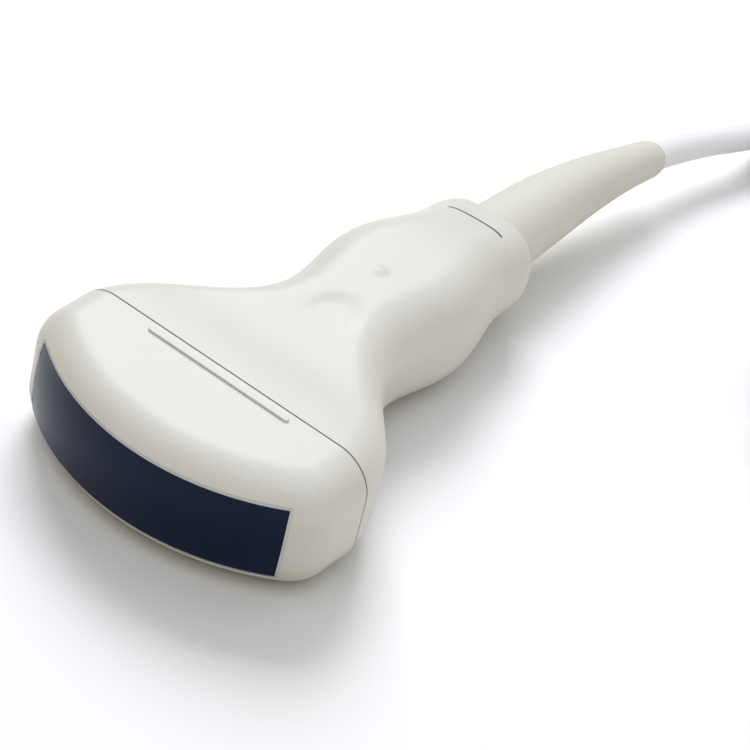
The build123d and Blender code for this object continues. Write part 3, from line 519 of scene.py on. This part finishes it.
def swell(x, y):
    """Height of the hollow and the nub over the undisturbed surface."""
    reach = HOLLOW_REAR if y > HOLLOW_Y else HOLLOW_FRONT
    rim = math.hypot((x - HOLLOW_X) / HOLLOW_HALF_WIDTH, (y - HOLLOW_Y) / reach)
    depth = HOLLOW_DEPTH * eased(y - PROBE_SHIFT, *HOLLOW_FADE)
    from_nub = math.hypot(x - NUB_PLACE[0], y - NUB_PLACE[1]) / NUB_RADIUS
    nub = NUB_HEIGHT * (math.cos(math.pi * min(from_nub, 1.0)) + 1) / 2
    return nub - depth * (1 - eased(rim, *HOLLOW_WALL))


print("hollow", HOLLOW_DEPTH, "mm deep, nub", NUB_HEIGHT, "mm high")

# %% [markdown]
# The shell's faces are too large to take such fine forms. Cutting them along a grid of planes adds points
# only over the patch and leaves the rest of the shell as it was, where a subdivision would round it all.

# %% Upper shell cut into a grid
SHELL_LOWEST = AXIS_HEIGHT + 9.5
UPWARD_ENOUGH = 0.3

grip_upper = joined_copy("grip_shell_upper", "grip_upper_soft")
shape = bmesh.new()
shape.from_mesh(grip_upper.data)


def patch_faces():
    """Outer faces of the upper shell over the patch."""
    margin = PATCH_STEP
    found = []
    for face in shape.faces:
        if face.normal.z < UPWARD_ENOUGH or max(vertex.co.z for vertex in face.verts) < SHELL_LOWEST * MM:
            continue
        xs = [vertex.co.x / MM for vertex in face.verts]
        ys = [vertex.co.y / MM for vertex in face.verts]
        if max(xs) > PATCH_LOW[0] - margin and min(xs) < PATCH_HIGH[0] + margin \
                and max(ys) > PATCH_LOW[1] - margin and min(ys) < PATCH_HIGH[1] + margin:
            found.append(face)
    return found


def cut_patch(point, normal):
    """Cut the outer faces over the patch along a plane."""
    faces = patch_faces()
    edges = dict.fromkeys(edge for face in faces for edge in face.edges)
    verts = dict.fromkeys(vertex for face in faces for vertex in face.verts)
    bmesh.ops.bisect_plane(shape, geom=[*verts, *edges, *faces], plane_co=point, plane_no=normal, dist=1e-7)


for row in range(rows):
    cut_patch(Vector((0.0, PATCH_LOW[1] + row * PATCH_STEP, 0.0)) * MM, (0.0, 1.0, 0.0))
for column in range(columns):
    cut_patch(Vector((PATCH_LOW[0] + column * PATCH_STEP, 0.0, 0.0)) * MM, (1.0, 0.0, 0.0))
print("faces after cutting:", len(shape.faces))

# %% [markdown]
# Each point of the patch moves to the undisturbed surface plus the swell. The move fades out at the
# patch's border, so no edge shows where the patch meets the rest of the shell.

# %% Patch drawn to its new height
PATCH_FADE = 2.0

moved = 0
for vertex in dict.fromkeys(vertex for face in patch_faces() for vertex in face.verts):
    x, y = vertex.co.x / MM, vertex.co.y / MM
    inset = min(x - PATCH_LOW[0], PATCH_HIGH[0] - x, y - PATCH_LOW[1], PATCH_HIGH[1] - y)
    weight = eased(inset, 0.0, PATCH_FADE)
    if weight > 0.0:
        target = surface_height(x, y) + swell(x, y)
        vertex.co.z += weight * (target * MM - vertex.co.z)
        moved += 1
shape.to_mesh(grip_upper.data)
shape.free()
smooth_shade(grip_upper.data, SMOOTH_LIMIT)
print("upper shell points moved:", moved, "faces:", len(grip_upper.data.polygons))

# %% [markdown]
# ## The printed line on the grip
#
# A thin dark arc is pad-printed on the flat at the rear of the upper grip shell. Ink has no thickness
# worth modelling, so it belongs in the material. The arc is a distance from a centre in the shell's own
# coordinates, kept to a narrow band and cut off at both ends, and it stays put from every side.

# %% Ink line in the upper shell's finish
LINE_CENTRE = (2.37, -12.01)
LINE_RADIUS = 30.56
LINE_WIDTH = 0.60
LINE_ENDS = (-6.6, 7.0)
LINE_LOWEST = 18.0
INK = (0.10, 0.10, 0.095, 1.0)

printed = finish("ivory housing with printed line", **IVORY)
tree = printed.node_tree
shader = tree.nodes["Principled BSDF"]
place = put(tree, "ShaderNodeTexCoord").outputs["Object"]
parts = put(tree, "ShaderNodeSeparateXYZ", Vector=place)
flat = put(tree, "ShaderNodeCombineXYZ", X=parts.outputs["X"], Y=parts.outputs["Y"])
span = put(tree, "ShaderNodeVectorMath", {"operation": "DISTANCE"}, _0=flat.outputs[0])
span.inputs[1].default_value = (LINE_CENTRE[0] * MM, LINE_CENTRE[1] * MM, 0.0)
in_band = put(tree, "ShaderNodeMath", {"operation": "COMPARE"}, _0=span.outputs["Value"],
              _1=LINE_RADIUS * MM, _2=LINE_WIDTH / 2 * MM)
middle = sum(LINE_ENDS) / 2
in_ends = put(tree, "ShaderNodeMath", {"operation": "COMPARE"}, _0=parts.outputs["X"],
              _1=middle * MM, _2=(LINE_ENDS[1] - middle) * MM)
behind = put(tree, "ShaderNodeMath", {"operation": "GREATER_THAN"},
             _0=parts.outputs["Y"], _1=LINE_CENTRE[1] * MM)
on_top = put(tree, "ShaderNodeMath", {"operation": "GREATER_THAN"},
             _0=parts.outputs["Z"], _1=LINE_LOWEST * MM)
ink = in_band
for limit in (in_ends, behind, on_top):
    ink = put(tree, "ShaderNodeMath", {"operation": "MULTIPLY"}, _0=ink.outputs[0], _1=limit.outputs[0])
plain_colour = shader.inputs["Base Color"].links[0].from_socket
inked = put(tree, "ShaderNodeMix", {"data_type": "RGBA"}, Factor=ink.outputs[0])
tree.links.new(plain_colour, inked.inputs[6])
inked.inputs[7].default_value = INK
tree.links.new(inked.outputs[2], shader.inputs["Base Color"])
frame["nodes"]["grip_shell_upper"].material_slots[0].material = printed
for piece, material in ((grip_upper, printed), (relief, finishes["boot"])):
    piece.data.materials.clear()
    piece.data.materials.append(material)
print("printed line", LINE_WIDTH, "mm wide on radius", LINE_RADIUS)

# %% [markdown]
# ## The contacts in the connector
#
# The connector's face carries rows of small sprung contacts, all alike and evenly spaced. That is what
# Geometry Nodes do best: one contact is made, a grid of points says where each stands, and the sizes
# stay open as named inputs. The result becomes a plain mesh, because instances aren't exported.

# %% Tree that fills a block with contacts
BLOCK_CENTRES = ((108.65, 44.5, 21.0), (108.65, 71.5, 21.0))
CONTACT_ROWS = 4
CONTACT_COLUMNS = 6
COLUMN_PITCH = 2.6
ROW_PITCH = 5.1
CONTACT_WIDTH = 0.8
CONTACT_LENGTH = 3.3
CONTACT_SIDES = 12
CONTACT_FLATNESS = 0.6

gold = finish("contact gold", (0.86, 0.60, 0.25), (0.80, 0.55, 0.22), 0.25, 1200.0, 0.004, Metallic=1.0)
contact_tree = bpy.data.node_groups.new("contact field", "GeometryNodeTree")
contact_tree.interface.new_socket("Geometry", in_out="INPUT", socket_type="NodeSocketGeometry")
for label, kind in (("Rows", "Int"), ("Columns", "Int"), ("Row Pitch", "Float"), ("Column Pitch", "Float"),
                    ("Width", "Float"), ("Length", "Float"), ("Centre", "Vector")):
    contact_tree.interface.new_socket(label, in_out="INPUT", socket_type=f"NodeSocket{kind}")
contact_tree.interface.new_socket("Geometry", in_out="OUTPUT", socket_type="NodeSocketGeometry")
sizes = contact_tree.nodes.new("NodeGroupInput").outputs
result = contact_tree.nodes.new("NodeGroupOutput")


def pitch_span(count, pitch):
    """Node socket with the width that count points at this pitch cover."""
    gaps = put(contact_tree, "ShaderNodeMath", {"operation": "SUBTRACT"}, _0=count, _1=1.0)
    span = put(contact_tree, "ShaderNodeMath", {"operation": "MULTIPLY"}, _0=gaps.outputs[0], _1=pitch)
    return span.outputs[0]


grid = put(contact_tree, "GeometryNodeMeshGrid", Vertices_X=sizes["Rows"], Vertices_Y=sizes["Columns"],
           Size_X=pitch_span(sizes["Rows"], sizes["Row Pitch"]),
           Size_Y=pitch_span(sizes["Columns"], sizes["Column Pitch"]))
upright = put(contact_tree, "GeometryNodeTransform", Geometry=grid.outputs["Mesh"],
              Translation=sizes["Centre"], Rotation=(0.0, math.pi / 2, 0.0))
half_width = put(contact_tree, "ShaderNodeMath", {"operation": "MULTIPLY"}, _0=sizes["Width"], _1=0.5)
blade = put(contact_tree, "GeometryNodeMeshCylinder", Vertices=CONTACT_SIDES,
            Radius=half_width.outputs[0], Depth=sizes["Length"])
stood = put(contact_tree, "GeometryNodeInstanceOnPoints", Points=upright.outputs[0],
            Instance=blade.outputs["Mesh"], Scale=(CONTACT_FLATNESS, 1.0, 1.0))
made = put(contact_tree, "GeometryNodeRealizeInstances", Geometry=stood.outputs[0])
coated = put(contact_tree, "GeometryNodeSetMaterial", Geometry=made.outputs[0], Material=gold)
contact_tree.links.new(coated.outputs[0], result.inputs[0])
print("contact tree inputs:", [socket.name for socket in sizes if socket.name])

# %% [markdown]
# The tree works as a modifier on an empty mesh, once for each block, with that block's own numbers. The
# evaluated result is then copied into a mesh of its own and the carrier is removed.

# %% Contacts as plain meshes
def grown(name, tree, values):
    """A plain mesh object from a Geometry Nodes tree with these input values."""
    seed = bpy.data.objects.new(name + "_seed", bpy.data.meshes.new(name + "_seed"))
    scene.collection.objects.link(seed)
    modifier = seed.modifiers.new("grow", "NODES")
    modifier.node_group = tree
    for item in tree.interface.items_tree:
        if item.in_out == "INPUT" and item.name in values:
            modifier[item.identifier] = values[item.name]
    bpy.context.view_layer.update()
    evaluated = seed.evaluated_get(bpy.context.evaluated_depsgraph_get())
    mesh = bpy.data.meshes.new_from_object(evaluated)
    bpy.data.objects.remove(seed)
    piece = bpy.data.objects.new(name, mesh)
    scene.collection.objects.link(piece)
    return piece


for side, centre in zip(("near", "far"), BLOCK_CENTRES):
    contacts = grown(f"contacts_{side}", contact_tree, {
        "Rows": CONTACT_ROWS,
        "Columns": CONTACT_COLUMNS,
        "Row Pitch": ROW_PITCH * MM,
        "Column Pitch": COLUMN_PITCH * MM,
        "Width": CONTACT_WIDTH * MM,
        "Length": CONTACT_LENGTH * MM,
        "Centre": tuple(value * MM for value in centre),
    })
    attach(contacts, "probe")
    print(contacts.name, "faces:", len(contacts.data.polygons))

# %% [markdown]
# ## Studio
#
# The photograph has a cut-out look: the object stands on white that burns out to pure white. A wide plain
# square does it, matt enough to show no reflection. It fills the picture from above, but a very low view
# can still come to its edge and show the tent behind it.

# %% Table
TABLE_HALF = 3.0
TABLE_CORNERS = ((-1, -1), (1, -1), (1, 1), (-1, 1))

table = bpy.data.objects.new("table", bpy.data.meshes.new("table"))
table.data.from_pydata([(x * TABLE_HALF, y * TABLE_HALF, 0.0) for x, y in TABLE_CORNERS], [], [(0, 1, 2, 3)])
scene.collection.objects.link(table)
table_white = bpy.data.materials.new("table white")
table_white.use_nodes = True
shader = table_white.node_tree.nodes["Principled BSDF"]
shader.inputs["Base Color"].default_value = (0.87, 0.875, 0.885, 1.0)
shader.inputs["Roughness"].default_value = 0.9
shader.inputs["Specular IOR Level"].default_value = 0.1
table.data.materials.append(table_white)
print("table", 2 * TABLE_HALF, "m wide")

# %% [markdown]
# One soft window high behind the object on the left shapes it and throws the shadow. The white around
# the shadow and the object's own tones ask for different strengths, so a second lamp at the window's place
# lights the table alone, and an overhead lamp lights everything but the table. Light linking does this.

# %% Lamps
def soft_light(name, azimuth, elevation, distance, size, power, colour):
    """Square area light aimed at the object from an azimuth, seen from above, and an elevation."""
    lamp = bpy.data.objects.new(name, bpy.data.lights.new(name, "AREA"))
    lamp.data.size = size
    lamp.data.energy = power
    lamp.data.color = colour
    turn = math.radians(azimuth)
    lift = math.radians(elevation)
    way = Vector((math.cos(turn) * math.cos(lift), math.sin(turn) * math.cos(lift), math.sin(lift)))
    lamp.location = LOOK_AT + way * distance
    lamp.rotation_euler = way.to_track_quat("Z", "Y").to_euler()
    scene.collection.objects.link(lamp)
    return lamp


def light_only(lamp, piece, state):
    """Link a lamp to one piece: INCLUDE lights it alone, EXCLUDE lights everything else."""
    group = bpy.data.collections.new(lamp.name + "_receivers")
    group.objects.link(piece)
    group.collection_objects[0].light_linking.link_state = state
    lamp.light_linking.receiver_collection = group


WINDOW = {"azimuth": 132.0, "elevation": 41.0, "distance": 1.2, "size": 0.58}
OVERHEAD = {"azimuth": -20.0, "elevation": 66.0, "distance": 1.2, "size": 0.7}

soft_light("window_light", **WINDOW, power=6.9, colour=(0.94, 1.0, 1.13))
window_on_table = soft_light("window_on_table", **WINDOW, power=7.3, colour=(1.02, 1.0, 0.97))
light_only(window_on_table, table, "INCLUDE")
overhead = soft_light("overhead_on_object", **OVERHEAD, power=3.6, colour=(0.88, 0.97, 1.20))
light_only(overhead, table, "EXCLUDE")

# %% [markdown]
# A tent of weak light closes the studio. It is bright and cool overhead and dim and warm near the table,
# so upper faces stay clear and shaded sides turn warm. The square of the height keeps the glow overhead.

# %% Tent of light
TENT_LOW = (0.19, 0.148, 0.065, 1.0)
TENT_HIGH = (1.08, 1.105, 1.170, 1.0)
TENT_POWER = 2.0

world = bpy.data.worlds.new("studio")
world.use_nodes = True
sky = world.node_tree
direction = put(sky, "ShaderNodeSeparateXYZ", Vector=put(sky, "ShaderNodeTexCoord").outputs["Generated"])
height = put(sky, "ShaderNodeClamp", Value=direction.outputs["Z"])
lifted = put(sky, "ShaderNodeMath", {"operation": "POWER"}, _0=height.outputs[0], _1=TENT_POWER)
tent = put(sky, "ShaderNodeMix", {"data_type": "RGBA"}, Factor=lifted.outputs[0])
tent.inputs[6].default_value = TENT_LOW
tent.inputs[7].default_value = TENT_HIGH
sky.links.new(tent.outputs[2], sky.nodes["Background"].inputs["Color"])
scene.world = world
scene.view_settings.view_transform = "Standard"
print("tent from", TENT_LOW[:3], "to", TENT_HIGH[:3])
